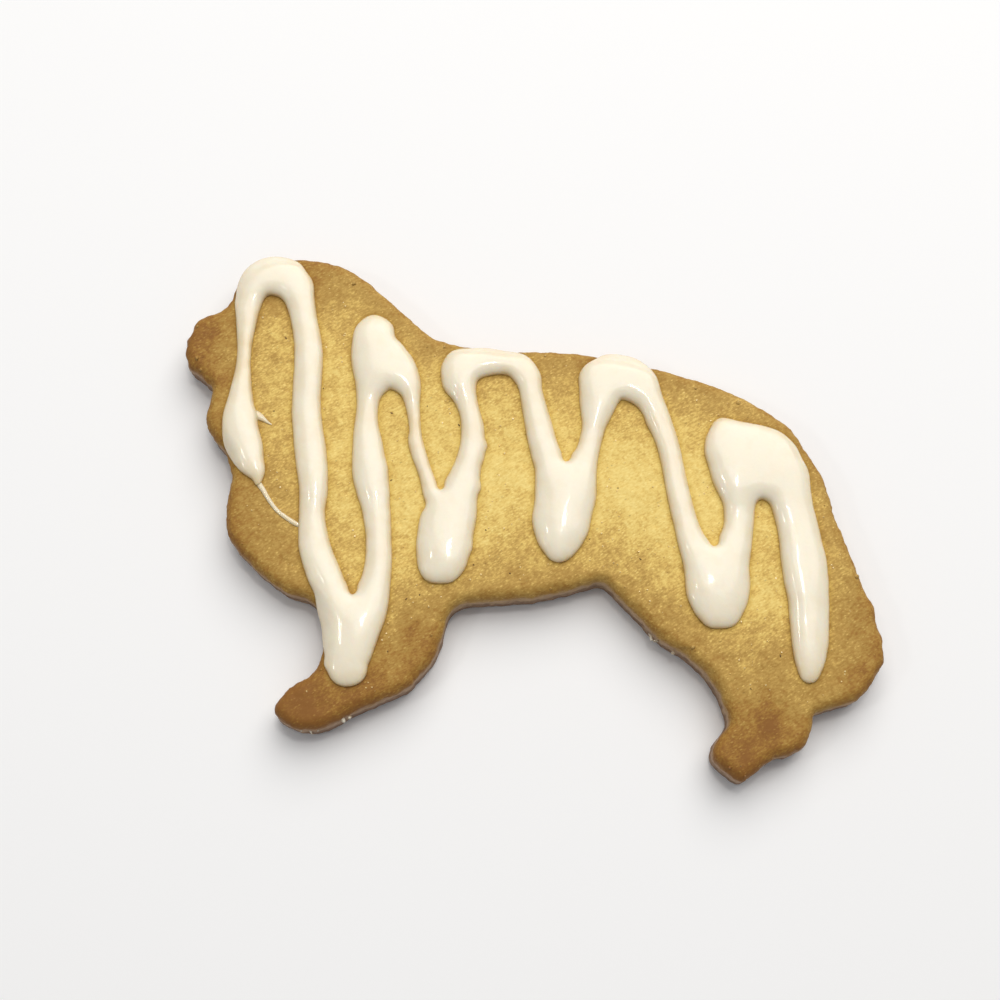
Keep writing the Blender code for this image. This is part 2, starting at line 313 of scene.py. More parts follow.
map_low = ring.min(axis=0) - MAP_MARGIN
map_size = np.ceil((ring.max(axis=0) + MAP_MARGIN - map_low) / MAP_STEP).astype(int) + 1
map_x = map_low[0] + MAP_STEP * np.arange(map_size[0])
map_y = map_low[1] + MAP_STEP * np.arange(map_size[1])
MAP_X, MAP_Y = np.meshgrid(map_x, map_y, indexing="ij")


def window(centre, reach):
    """The slices of a map that hold everything within reach of the centre."""
    low = np.clip(((centre - reach - map_low) / MAP_STEP).astype(int), 0, map_size - 1)
    high = np.clip(((centre + reach - map_low) / MAP_STEP).astype(int) + 2, 1, map_size)
    return slice(low[0], high[0]), slice(low[1], high[1])


def read_map(values, x, y):
    """The map's value at any places, between its grid points too."""
    u = np.clip((x - map_low[0]) / MAP_STEP, 0.0, map_size[0] - 1.001)
    v = np.clip((y - map_low[1]) / MAP_STEP, 0.0, map_size[1] - 1.001)
    i, j = np.floor(u).astype(int), np.floor(v).astype(int)
    s, t = u - i, v - j
    near = values[i, j] * (1 - s) + values[i + 1, j] * s
    far = values[i, j + 1] * (1 - s) + values[i + 1, j + 1] * s
    return near * (1 - t) + far * t


def softened(values, radius):
    """The map as if it were out of focus, with each value spread over about a radius in mm."""
    rows = np.fft.fftfreq(map_size[0], MAP_STEP)[:, None]
    columns = np.fft.rfftfreq(map_size[1], MAP_STEP)
    kept = np.exp(-2.0 * (math.pi * radius) ** 2 * (rows**2 + columns**2))
    return np.fft.irfft2(np.fft.rfft2(values) * kept, s=values.shape)


def gentle(share):
    """A share from 0 to 1 that starts and ends gently."""
    return share * share * (3.0 - 2.0 * share)


def soft_hills(length, seed):
    """A map of smooth random hills between -1 and 1, some length apart, turned so that no row shows."""
    heights = np.random.default_rng(seed).uniform(-1.0, 1.0, (HILLS_IN_ROW, HILLS_IN_ROW))
    cosine, sine = HILL_TURN
    u = (cosine * MAP_X + sine * MAP_Y) / length
    v = (cosine * MAP_Y - sine * MAP_X) / length
    i, j = np.floor(u).astype(int), np.floor(v).astype(int)
    s, t = gentle(u - i), gentle(v - j)
    i, j, next_i, next_j = (number % HILLS_IN_ROW for number in (i, j, i + 1, j + 1))
    near = heights[i, j] * (1 - s) + heights[next_i, j] * s
    far = heights[i, next_j] * (1 - s) + heights[next_i, next_j] * s
    return near * (1 - t) + far * t


def with_hills(values, layers):
    """The map with layers of random hills laid on it, each with its length, height and seed."""
    for length, height, seed in layers:
        values = values + height * soft_hills(length, seed)
    return values


print("maps of", map_size[0], "by", map_size[1], "places")

# %% [markdown]
# ## How deep inside the edge
# Each short stretch of the outline only touches the part of the map near it, and a place is inside
# the dog where a level line from it crosses the outline an odd number of times. The dough tore and
# crumbled a little at the cutter, so the edge then gets its own small waves.

# %% Depth map
DEPTH_REACH = 9.0
# Each layer of waves: its length and height in mm, and the seed of its random hills.
EDGE_WAVES = ((3.1, 0.05, 21), (1.2, 0.06, 22), (0.6, 0.06, 23))
# Each detail: x and y in mm, how far the edge moves out there and over what radius, in mm.
EDGE_DETAILS = {
    "muzzle": [(-53.1, 21.4, -0.55, 0.8), (-53.6, 19.1, -0.4, 1.2), (-52.4, 16.0, 0.2, 0.8)],
    "throat": [(-48.5, 13.3, -0.35, 1.0), (-48.6, 10.4, -0.4, 1.6)],
    "breast": [(-43.6, -0.1, -0.4, 2.0), (-42.9, -5.6, -0.15, 2.0)],
    "rump": [(46.4, 1.1, -0.25, 4.0), (51.5, -9.7, -0.2, 0.8)],
    "tail": [(53.6, -13.6, -0.5, 1.6), (52.7, -17.7, -0.35, 1.4)],
    "hind leg": [(16.9, -13.7, -0.25, 4.0), (23.3, -18.7, -0.2, 3.0), (30.1, -23.7, -0.2, 2.5)],
}


def hill(x, y, radius):
    """A map that is 1 at one place and falls softly to 0 over a radius in mm."""
    return np.exp(-((MAP_X - x) ** 2 + (MAP_Y - y) ** 2) / radius**2)


def make_depth_map():
    """How far each grid point is inside the outline, negative outside."""
    distance = np.full(tuple(map_size), DEPTH_REACH)
    starts, ends = ring, np.roll(ring, -1, axis=0)
    for start, end in zip(starts, ends):
        spot = window((start + end) / 2, DEPTH_REACH)
        run = end - start
        dx, dy = MAP_X[spot] - start[0], MAP_Y[spot] - start[1]
        share = np.clip((dx * run[0] + dy * run[1]) / (run @ run), 0.0, 1.0)
        distance[spot] = np.minimum(distance[spot], np.hypot(dx - share * run[0], dy - share * run[1]))
    inside = np.zeros(tuple(map_size), bool)
    for row, y in enumerate(map_y):
        crossed = (starts[:, 1] > y) != (ends[:, 1] > y)
        share = (y - starts[crossed, 1]) / (ends[crossed, 1] - starts[crossed, 1])
        meets = np.sort(starts[crossed, 0] + share * (ends[crossed, 0] - starts[crossed, 0]))
        inside[:, row] = np.searchsorted(meets, map_x) % 2 == 1
    return np.where(inside, distance, -distance)


DEPTH = with_hills(make_depth_map(), EDGE_WAVES)
for x, y, push, radius in all_of(EDGE_DETAILS):
    DEPTH += push * hill(x, y, radius)
INSIDE = (DEPTH > 0.0).astype(float)
print("the dog covers", round(INSIDE.sum() * MAP_STEP**2), "square mm")

# %% [markdown]
# ## A skin for any soft form
# Dough and icing have no edges to model one by one. Each is described instead by a field: a function
# that is negative inside the stuff and positive outside. The skin is then laid where the field
# changes sign: one point in every small cube that the surface crosses, and one four-sided face round
# every cube edge that it crosses. The points then settle onto the exact surface and spread evenly.

# %% Skin of a field
TINY = 0.01
SETTLE_ROUNDS = 3
EVEN_ROUNDS = 3
EVEN_SHARE = 0.5


def edge_links(faces):
    """Every pair of points that share a side of a face."""
    pairs = np.vstack([faces[:, [0, 1]], faces[:, [1, 2]], faces[:, [2, 3]], faces[:, [3, 0]]])
    return np.unique(np.sort(pairs, axis=1), axis=0)


def settle(points, field, step):
    """Moves each point straight onto the surface, by no more than a step at a time."""
    for _ in range(SETTLE_ROUNDS):
        value = field(*points.T)
        slope = np.stack([(field(*(points + TINY * axis).T) - value) / TINY for axis in np.eye(3)], axis=1)
        move = -slope * (value / np.maximum((slope**2).sum(axis=1), 1e-6))[:, None]
        length = np.linalg.norm(move, axis=1, keepdims=True)
        points = points + move * np.minimum(1.0, step / np.maximum(length, 1e-9))
    return points


def even_out(points, links, share):
    """Moves each point part of the way to the middle of its neighbours."""
    total = np.zeros_like(points)
    for axis in range(3):
        total[:, axis] += np.bincount(links[:, 0], points[links[:, 1], axis], len(points))
        total[:, axis] += np.bincount(links[:, 1], points[links[:, 0], axis], len(points))
    count = np.bincount(links.ravel(), minlength=len(points))
    return points + share * (total / count[:, None] - points)


def skin_of(field, low, high, step):
    """The points and four-sided faces of the surface where the field is zero."""
    lines = [np.arange(a - step, b + 2 * step, step) for a, b in zip(low, high)]
    inside = field(*np.meshgrid(*lines, indexing="ij")) < 0.0
    cells = np.zeros(tuple(size - 1 for size in inside.shape), int)
    for i, j, k in np.ndindex(2, 2, 2):
        cells += inside[i:i + cells.shape[0], j:j + cells.shape[1], k:k + cells.shape[2]]
    crossed = (cells > 0) & (cells < 8)
    number = np.full(cells.shape, -1)
    number[crossed] = np.arange(crossed.sum())
    places = np.argwhere(crossed)
    points = np.column_stack([lines[axis][places[:, axis]] + step / 2 for axis in range(3)])
    faces = []
    for axis in range(3):
        order = (axis, (axis + 1) % 3, (axis + 2) % 3)
        here = np.transpose(inside, order).astype(int)
        cell = np.transpose(number, order)
        change = here[:-1, 1:-1, 1:-1] - here[1:, 1:-1, 1:-1]
        around = np.stack([cell[:, :-1, :-1], cell[:, 1:, :-1], cell[:, 1:, 1:], cell[:, :-1, 1:]], axis=-1)
        faces.append(around[change > 0])
        faces.append(around[change < 0][:, ::-1])
    faces = np.vstack(faces)
    links = edge_links(faces)
    points = settle(points, field, step)
    for _ in range(EVEN_ROUNDS):
        points = settle(even_out(points, links, EVEN_SHARE), field, step)
    return points, faces


# %% [markdown]
# ## Relief and objects
# A point can move in or out along the surface's own direction, by a noise that depends only on where
# it is, so the relief is the same on every run. The last helpers turn points and faces into a Blender
# object, keep values such as how brown the dough is on each point, where a material can read them,
# and say what the object belongs to.

# %% Relief and object helpers
LAYER_WEAKER = 1.0
LAYER_FINER = 2.1


def directions_out(points, faces):
    """The outward unit direction at each point."""
    flat = np.cross(points[faces[:, 2]] - points[faces[:, 0]], points[faces[:, 3]] - points[faces[:, 1]])
    total = np.zeros_like(points)
    for corner in range(4):
        for axis in range(3):
            total[:, axis] += np.bincount(faces[:, corner], flat[:, axis], len(points))
    return total / np.linalg.norm(total, axis=1, keepdims=True)


def fractal(points, length, octaves):
    """Layered noise at each point, about -1 to 1, with its largest lumps some length apart."""
    places = [Vector(place) for place in points / length]
    return np.array([noise.fractal(place, LAYER_WEAKER, LAYER_FINER, octaves) for place in places])


def count_triangles(mesh):
    """How many triangles the mesh's faces make."""
    return sum(len(face.vertices) - 2 for face in mesh.polygons)


def new_object(name, points, faces, material, values=None):
    """A smooth-shaded mesh object from points in millimetres, with named values on its points."""
    mesh = bpy.data.meshes.new(name)
    mesh.from_pydata((points * MM).tolist(), [], faces)
    mesh.shade_smooth()
    mesh.materials.append(material)
    for label, numbers in (values or {}).items():
        mesh.attributes.new(label, "FLOAT", "POINT").data.foreach_set("value", numbers)
    obj = bpy.data.objects.new(name, mesh)
    bpy.context.scene.collection.objects.link(obj)
    print(f"{name}: {len(mesh.vertices)} points, {count_triangles(mesh)} triangles")
    return obj


def belongs(piece, replaces=True):
    """Hangs the piece on the root and, where it replaces the plain solid, hides that solid."""
    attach(piece, "root")
    if replaces:
        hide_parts("cookie")


# %% [markdown]
# ## The icing's line
# Someone held a spoon or a bag above the cookie and moved it back and forth: one line that turns at
# the dog's back and again low on its side. Where the hand slowed, the icing piled up. So each stroke
# is a curve with a width at each point: x, y and width in millimetres.

# %% Icing strokes
STROKES = {
    "cheek": [
        (-38.9, -1.1, 0.7), (-39.1, 0.1, 1.6), (-39.7, 1.2, 3.0), (-40.8, 2.6, 4.4), (-42.3, 5.5, 5.5),
        (-43.2, 8.4, 4.9), (-43.6, 12.4, 3.4), (-44.0, 17.3, 2.2), (-44.4, 21.3, 2.5), (-44.8, 26.6, 3.9),
    ],
    "first fall": [
        (-44.8, 26.6, 3.9), (-44.5, 29.8, 4.9), (-43.2, 31.5, 5.7), (-41.1, 32.0, 5.7),
        (-38.6, 30.9, 5.3), (-37.2, 28.0, 4.5), (-36.1, 24.8, 3.9), (-34.6, 19.8, 4.2),
        (-33.7, 11.5, 4.3), (-31.8, 3.9, 4.7), (-30.8, -0.4, 4.2), (-30.4, -4.5, 3.8),
        (-29.4, -9.0, 4.5), (-26.6, -14.6, 5.1), (-24.3, -18.6, 6.0), (-23.0, -22.0, 6.5),
        (-22.0, -26.0, 5.6),
    ],
    "second rise": [
        (-21.9, -23.6, 6.2), (-20.6, -17.2, 6.0), (-19.9, -13.3, 4.3), (-20.1, -8.6, 3.8),
        (-21.2, -2.9, 4.1), (-22.8, 1.9, 5.2), (-23.4, 4.6, 5.0), (-24.5, 9.6, 3.6), (-24.8, 13.4, 3.4),
        (-24.5, 16.9, 5.6), (-24.5, 20.0, 7.4), (-25.2, 23.4, 6.6),
    ],
    "second fall": [
        (-24.8, 22.4, 6.8), (-22.8, 20.2, 6.2), (-20.8, 18.4, 5.5), (-19.2, 16.1, 3.7),
        (-18.3, 13.9, 2.2), (-17.4, 10.2, 1.8), (-16.9, 7.7, 2.2), (-14.8, 3.2, 2.1), (-13.3, 0.0, 2.9),
        (-12.1, -1.9, 4.9), (-11.2, -4.5, 7.5), (-10.9, -8.6, 7.4),
    ],
    "third rise": [
        (-10.7, -6.0, 7.8), (-10.4, -1.6, 7.1), (-9.3, 3.3, 4.7), (-8.7, 7.6, 3.9), (-9.0, 11.0, 3.4),
        (-9.9, 13.8, 3.1), (-11.0, 16.2, 3.7), (-12.0, 18.5, 5.3), (-11.6, 20.7, 5.6),
    ],
    "third fall": [
        (-11.8, 20.6, 5.4), (-8.9, 21.7, 4.9), (-6.0, 22.0, 4.0), (-3.7, 21.7, 4.1), (-2.0, 20.0, 4.0),
        (-1.2, 17.8, 3.4), (0.3, 13.5, 4.0), (2.0, 8.9, 4.3), (3.4, 6.0, 5.2), (4.8, 3.2, 7.3),
        (5.4, -0.6, 8.1), (5.5, -2.9, 7.2), (5.5, -5.0, 4.6),
    ],
    "fourth rise": [
        (5.5, -1.0, 8.1), (6.0, 2.9, 8.1), (6.8, 6.0, 5.8), (7.9, 8.9, 3.6), (8.4, 12.0, 3.3),
        (8.6, 14.1, 3.7), (8.8, 17.5, 5.6), (9.3, 20.8, 7.2),
    ],
    "fourth fall": [
        (9.4, 21.0, 7.2), (11.3, 22.0, 7.5), (13.9, 21.1, 6.6), (16.1, 18.2, 4.9), (18.2, 15.1, 3.7),
        (19.9, 11.3, 3.3), (22.0, 4.6, 3.4), (24.2, -1.4, 4.0), (26.3, -4.7, 6.0), (28.1, -7.4, 8.3),
        (29.0, -10.1, 7.6),
    ],
    "fifth rise": [
        (28.9, -8.5, 8.9), (29.4, -4.8, 7.0), (30.4, -2.0, 5.2), (30.9, 1.2, 4.3), (30.6, 5.2, 4.9),
        (29.8, 9.3, 7.6), (29.2, 12.6, 8.0),
    ],
    "fifth fall": [
        (29.0, 13.0, 8.2), (31.2, 12.6, 8.8), (34.0, 11.8, 9.2), (36.4, 10.1, 7.9), (37.7, 7.0, 6.3),
        (39.2, 2.6, 6.0), (40.6, -2.9, 6.5), (41.6, -7.6, 6.1), (42.3, -12.9, 5.5), (42.5, -16.2, 4.7),
        (42.6, -18.8, 3.0),
    ],
}
print(len(STROKES), "strokes")

# %% [markdown]
# ## Where the icing lies
# A place is covered where it lies within the width of some stroke. The map holds how far out across
# the nearest bead each place is, with 1 at the bead's edge. Wet icing draws itself together, so sharp
# inner corners fill up and edges grow smooth: putting the map slightly out of focus does just that.

# %% Icing map
STROKE_STEP = 0.12
OUTSIDE = 2.6
FLOW_TOGETHER = 0.05
SURFACE_PULL = 0.3
EDGE_WOBBLE = ((2.4, 0.035, 11),)
# Each touch: x and y in mm, how much wider the bead is there as a share, and its radius in mm.
TOUCHES = {
    "inner corners": [
        (-12.5, 1.9, -0.24, 0.9), (5.3, 8.3, -0.24, 0.9), (27.9, -1.7, -0.24, 0.9),
        (-22.8, -14.9, -0.2, 0.8),
    ],
    "insides of arches": [
        (-41.1, 28.7, 0.34, 1.4), (33.8, 6.5, 0.34, 1.3), (14.2, 17.0, -0.3, 1.5), (15.6, 16.2, -0.16, 1.2),
        (-22.7, 14.5, -0.14, 1.1), (-20.5, 14.8, -0.24, 1.2),
    ],
    "cheek drop": [(-40.4, 9.6, 0.14, 1.1)],
    "first arch": [(-36.6, 32.9, -0.14, 1.4), (-28.4, -15.9, -0.1, 1.6), (-25.4, -25.9, 0.14, 1.1)],
    "second arch": [(-26.2, 26.9, 0.14, 2.0), (-22.0, 24.2, -0.16, 1.3)],
    "second drop": [(-14.6, -0.8, -0.14, 0.9), (-12.7, -12.0, 0.12, 1.8), (-9.4, -11.7, 0.06, 1.4)],
    "third rise": [(-6.6, 9.0, 0.18, 0.9), (-6.9, 2.5, 0.16, 0.9), (-7.4, 5.6, -0.08, 0.9)],
    "third arch": [(-14.9, 20.2, 0.08, 1.3)],
    "fourth drop": [(27.9, -14.2, 0.08, 1.5), (31.6, -13.2, 0.12, 1.6)],
    "fifth arch": [(26.5, 17.1, 0.14, 1.7), (39.6, 12.7, -0.08, 1.7)],
}


def stroke_maps(points):
    """How far out across the bead each place is, 1 at its edge, and the bead's half width there."""
    across = np.full(tuple(map_size), OUTSIDE)
    half_width = np.full(tuple(map_size), 1.0)
    for x, y, width in smooth_line(points, STROKE_STEP):
        half = width / 2
        centre = np.array([x, y]) - middle
        spot = window(centre, half * OUTSIDE)
        share = np.hypot(MAP_X[spot] - centre[0], MAP_Y[spot] - centre[1]) / half
        nearer = share < across[spot]
        across[spot] = np.where(nearer, share, across[spot])
        half_width[spot] = np.where(nearer, half, half_width[spot])
    return across, half_width


weights = np.zeros(tuple(map_size))
widths = np.zeros(tuple(map_size))
for points in STROKES.values():
    across, half_width = stroke_maps(points)
    weight = np.exp(-across / FLOW_TOGETHER)
    weights += weight
    widths += weight * half_width
HALF_WIDTH = softened(widths / weights, SURFACE_PULL)
ACROSS = softened(-FLOW_TOGETHER * np.log(weights), SURFACE_PULL)
ACROSS = with_hills(ACROSS, EDGE_WOBBLE)
for x, y, push, radius in all_of(TOUCHES):
    ACROSS -= push * hill(x, y, radius)
covered = ACROSS < 1.0
print("icing covers", round(covered.sum() * MAP_STEP**2), "square mm")

# %% [markdown]
# ## How high the icing stands
# A drop holds its shape because its surface is stretched like a skin. A skin that is fixed along the
# icing's edge and blown up from below takes just that shape: round across a narrow stroke, higher
# where strokes meet and with no crease where they do. Each place becomes the average of its four
# neighbours plus a little, again and again, until hardly anything changes. Its own weight flattens a
# wide drop.

# %% Icing height
BLOW_ROUNDS = 110
OVERSHOOT = 1.86
FLAT_REACH = 2.7
HIGHEST = 2.3
LOWEST = 0.2
RIM = (0.15, 0.45)
RIM_REACH = 0.8
EDGE_SHARE = 0.97


def blown_up(held):
    """Height squared of a stretched skin that is fixed to 0 outside the given area."""
    height = np.zeros(tuple(map_size))
    rows, columns = np.indices((map_size[0] - 2, map_size[1] - 2))
    turns = [((rows + columns) % 2 == turn) & held[1:-1, 1:-1] for turn in (0, 1)]
    for _ in range(BLOW_ROUNDS):
        for turn in turns:
            around = height[:-2, 1:-1] + height[2:, 1:-1] + height[1:-1, :-2] + height[1:-1, 2:]
            fresh = (around + 2.0 * MAP_STEP**2) / (4.0 + (MAP_STEP / FLAT_REACH) ** 2)
            height[1:-1, 1:-1] += np.where(turn, OVERSHOOT * (fresh - height[1:-1, 1:-1]), 0.0)
    return height


squared = np.maximum(blown_up(covered), 0.0)
slope = np.hypot(*np.gradient(squared, MAP_STEP))
from_rim = squared / np.maximum(slope, 1e-6)
away = np.clip((from_rim - RIM[0]) / (RIM[1] - RIM[0]), 0.0, 1.0) * covered
away = gentle(away)
full_height = np.sqrt(squared / (1.0 - np.clip(ACROSS, 0.0, EDGE_SHARE) ** 2))
near_rim = softened(full_height * away, RIM_REACH) / np.maximum(softened(away, RIM_REACH), 1e-6)
RISE = near_rim + (full_height - near_rim) * away
RISE = np.clip(RISE * HIGHEST / RISE[covered].max(), LOWEST, HIGHEST)
rises = RISE[covered]
print("icing rises to", round(rises.max(), 2), "mm at most and mostly to", round(np.median(rises), 2), "mm")

# %% [markdown]
# ## The biscuit's form
# The slab has a flat foot where it lay on the tray, a nearly upright wall and a rounded shoulder. Its
# top isn't level: the dough puffs up unevenly. All of that is one field, made of two rounded corners
# that follow the outline, one at the shoulder and one at the foot.

# %% Biscuit form
THICKNESS = 6.3
SHOULDER_RUN = 1.7
SHOULDER_RISE = 1.6
FOOT_RUN = 0.4
FOOT_RISE = 0.5
TOP_SWELLS = ((9.0, 0.10, 3), (3.6, 0.05, 4))
BISCUIT_STEP = 0.28
BOX_MARGIN = 0.5
BOX_BELOW = 0.3

LEVEL = with_hills(THICKNESS, TOP_SWELLS)


def rounded_corner(across, up):
    """Zero on a rounded corner: both values are 0 where its curve starts and 1 at its outer sides."""
    return np.where((across > 0) & (up > 0), np.hypot(across, up), np.maximum(across, up)) - 1.0


def flat_reading(x, y):
    """Places seen from above, without repeating each one for every height of a grid."""
    return (x[:, :, :1], y[:, :, :1]) if x.ndim == 3 else (x, y)


def biscuit_field(x, y, z):
    """Negative inside the slab, between its flat foot and its rounded shoulder."""
    x, y = flat_reading(x, y)
    depth = read_map(DEPTH, x, y)
    shoulder = rounded_corner(1.0 - depth / SHOULDER_RUN, 1.0 + (z - read_map(LEVEL, x, y)) / SHOULDER_RISE)
    foot = rounded_corner(1.0 - depth / FOOT_RUN, 1.0 - z / FOOT_RISE)
    return np.maximum(SHOULDER_RISE * shoulder, FOOT_RUN * foot)


low = np.append(ring.min(axis=0) - BOX_MARGIN, -BOX_BELOW)
high = np.append(ring.max(axis=0) + BOX_MARGIN, THICKNESS + BOX_MARGIN)
biscuit_points, biscuit_faces = skin_of(biscuit_field, low, high, BISCUIT_STEP)
print("biscuit skin of", len(biscuit_points), "points")

# %% [markdown]
# ## Relief of the baked dough
# Baked dough is never smooth. The top has soft lumps a millimetre or two across and a fine sandy
# grain, and the cut wall, which dries without a skin, is rougher. Small gas bubbles broke here and
# there and left pits. The foot stays flat, because it set against the tray.

# %% Biscuit relief
# Each layer of lumps: its length and height in mm, and how many layers of noise it has.
LUMPS = ((1.9, 0.06, 2), (0.8, 0.05, 2))
LUMP_SHIFT = 40.0
WALL_LENGTH = 1.3
WALL_HEIGHT = 0.16
WALL_LAYERS = 3
WALL_SQUASH = (1.0, 1.0, 1.6)
WALL_SHIFT = 90.0
WALL_ONSET = 1.3
TRAY_REACH = 0.8
PITS = 170
PIT_SIZES = (0.25, 0.6)
PIT_DEPTH = 0.16
PIT_FALL = 2.0
FACING_UP = 0.3

outward = directions_out(biscuit_points, biscuit_faces)
wall_share = np.clip(1.0 - WALL_ONSET * np.abs(outward[:, 2]), 0.0, 1.0)
wall_lumps = fractal(biscuit_points * WALL_SQUASH + WALL_SHIFT, WALL_LENGTH, WALL_LAYERS)
relief = WALL_HEIGHT * wall_share * wall_lumps
for length, height, octaves in LUMPS:
    relief += height * fractal(biscuit_points + LUMP_SHIFT * length, length, octaves)

dice = np.random.default_rng(5)
pit_places = dice.uniform(ring.min(axis=0), ring.max(axis=0), (PITS, 2))
pit_sizes = dice.uniform(*PIT_SIZES, PITS)
for place, size in zip(pit_places, pit_sizes):
    away = np.hypot(*(biscuit_points[:, :2] - place).T) / size
    relief -= PIT_DEPTH * np.exp(-away**2 * PIT_FALL) * (outward[:, 2] > FACING_UP)
off_tray = np.clip(biscuit_points[:, 2] / TRAY_REACH, 0.0, 1.0)
biscuit_points = biscuit_points + outward * (relief * off_tray)[:, None]
biscuit_points[:, 2] = np.maximum(biscuit_points[:, 2], 0.0)
print("relief from", round(relief.min(), 2), "to", round(relief.max(), 2), "mm")

# %% [markdown]
# ## How brown the dough is
# Dough browns where the heat reaches it from more sides: along the edge, and most of all at the
# muzzle, the paws and the tail. Putting the dog's shape far out of focus measures exactly that, as
# the share of dough round each place. A few named toasted spots and some random unevenness come on
# top, and the cookie is a little browner towards its lower left and paler towards its upper right.
# Painted shade darkens the dough right beside the icing to a deeper gold, where the icing meets it.

# %% Browning
HEAT_REACH = 9.0
LEAST_DOUGH = 0.2
LOWER_LEFT_BROWNING = 0.0015
EDGE_REACH = 1.6
EDGE_BROWNING = 0.08
UNEVEN_OVEN = ((7.0, 0.06, 31), (2.3, 0.05, 32))
CONTACT_SHADE_REACH = 0.55
WALL_START = 0.9
WALL_FADE = 3.6
# Each spot: x and y in mm, its radius in mm and how much browner it is, with less than 0 for paler.
TOASTED = {
    "muzzle": [(-49.3, 21.5, 1.6, 0.2), (-46.3, 14.4, 1.8, 0.2), (-50.3, 18.1, 3.4, 0.14)],
    "crown": [(-34.5, 30.1, 3.2, 0.05), (-27.2, 25.3, 3.4, -0.08), (-31.0, 33.0, 4.0, -0.08)],
    "chest": [(-34.2, -10.5, 3.0, 0.08)],
    "fore leg": [(-11.8, -20.7, 3.0, 0.14), (-13.8, -19.2, 1.6, 0.16), (-18.3, -27.6, 2.0, 0.12)],
    "fore paw": [(-27.2, -30.2, 2.0, 0.14), (-26.7, -32.6, 1.5, 0.2)],
    "hind leg": [(37.7, -27.0, 2.0, 0.4), (37.4, -24.5, 1.5, 0.2), (37.3, -21.8, 2.2, 0.1)],
    "hind paw": [(34.7, -31.4, 1.8, 0.14), (33.4, -33.5, 1.4, 0.1), (42.0, -27.3, 1.8, 0.06)],
    "tail": [(49.8, -17.8, 1.6, 0.14), (47.2, -12.7, 2.6, 0.06)],
    "neck": [(-28.0, 8.0, 8.0, 0.09)],
    "pale spots": [
        (7.6, 17.7, 3.5, -0.08), (30.1, 21.3, 3.0, -0.16), (43.0, 6.7, 3.0, -0.14),
        (-36.6, -11.3, 3.0, -0.08),
    ],
    "thigh": [(30.0, -18.0, 1.3, 0.14), (27.0, -15.6, 1.2, 0.1), (37.5, -15.5, 5.0, 0.18)],
}

around = softened(INSIDE, HEAT_REACH)
# The whole cookie is also a little browner towards its lower left and paler towards its upper right.
BROWNING = (1.0 - around) / (1.0 - LEAST_DOUGH) - LOWER_LEFT_BROWNING * (MAP_X + MAP_Y)
BROWNING += EDGE_BROWNING * np.clip(1.0 - DEPTH / EDGE_REACH, 0.0, 1.0)
BROWNING = with_hills(BROWNING, UNEVEN_OVEN)
for x, y, radius, strength in all_of(TOASTED):
    BROWNING += strength * hill(x, y, radius)
# Painted shade: a narrow darker rim of dough where the icing meets it.
CONTACT_SHADE_MAP = np.exp(-(np.maximum(ACROSS - 1.0, 0.0) * HALF_WIDTH / CONTACT_SHADE_REACH) ** 2)

browning = read_map(BROWNING, *biscuit_points[:, :2].T)
soaked = read_map(CONTACT_SHADE_MAP, *biscuit_points[:, :2].T)
# How far down the wall each point is: the material paints the wall greyer and darker there, partly as
# painted shade.
side = np.clip((THICKNESS - WALL_START - biscuit_points[:, 2]) / WALL_FADE, 0.0, 1.0)
print("browning from", round(browning.min(), 2), "to", round(browning.max(), 2))

# %% [markdown]
# ## Sandy grain
# Seen close up, short dough is sandy: pale grains of butter and sugar in darker gold, most of them
# drawn out a little along the way that the rolling pin went, with a few pits between. Both the
# biscuit and its loose crumbs show it, so it is one node group with the grain's size as its input.

# %% Grain group
GRAIN_TURN = math.radians(36.0)
GRAIN_STRETCH = 2.0


def make_grain_group():
    """A group that gives a soft grain, a mask of pale flecks and a mask of dark pits."""
    group = bpy.data.node_groups.new("sandy grain", "ShaderNodeTree")
    group.interface.new_socket("Size", in_out="INPUT", socket_type="NodeSocketFloat")
    for name in ("Grain", "Flecks", "Pits"):
        group.interface.new_socket(name, in_out="OUTPUT", socket_type="NodeSocketFloat")
    start = group.nodes.new("NodeGroupInput")
    end = group.nodes.new("NodeGroupOutput")
    place = add(group, "TexCoord").outputs["Object"]
    turn = {"Vector": place, "Rotation": (0.0, 0.0, GRAIN_TURN), "Scale": (GRAIN_STRETCH, 1.0, 1.0)}
    drawn_out = add(group, "Mapping", turn, vector_type="TEXTURE").outputs[0]
    scale = reckon(group, "DIVIDE", 1.0, start.outputs["Size"])
    fine = add(group, "TexNoise", {"Vector": drawn_out, "Scale": scale, "Detail": 3.0, "Roughness": 0.62})
    cells = add(group, "TexVoronoi", {"Vector": drawn_out, "Scale": scale, "Randomness": 1.0})
    luck = add(group, "SeparateColor", {"Color": cells.outputs["Color"]})
    round_grain = ease(group, cells.outputs["Distance"], 0.5, 0.15)
    chosen = ease(group, luck.outputs["Red"], 0.45, 0.75)
    flecks = reckon(group, "MULTIPLY", round_grain, chosen)
    small_hole = ease(group, cells.outputs["Distance"], 0.42, 0.2)
    rare = ease(group, luck.outputs["Green"], 0.975, 0.985)
    holes = reckon(group, "MULTIPLY", small_hole, rare)
    group.links.new(fine.outputs["Fac"], end.inputs["Grain"])
    group.links.new(flecks, end.inputs["Flecks"])
    group.links.new(holes, end.inputs["Pits"])
    return group


grain_group = make_grain_group()


def grain(tree, size):
    """The grain group placed in a material, at a size in mm."""
    node = add(tree, "Group", node_tree=grain_group)
    node.inputs["Size"].default_value = size * MM
    return node.outputs["Grain"], node.outputs["Flecks"], node.outputs["Pits"]


print("grain group with", len(grain_group.nodes), "nodes")
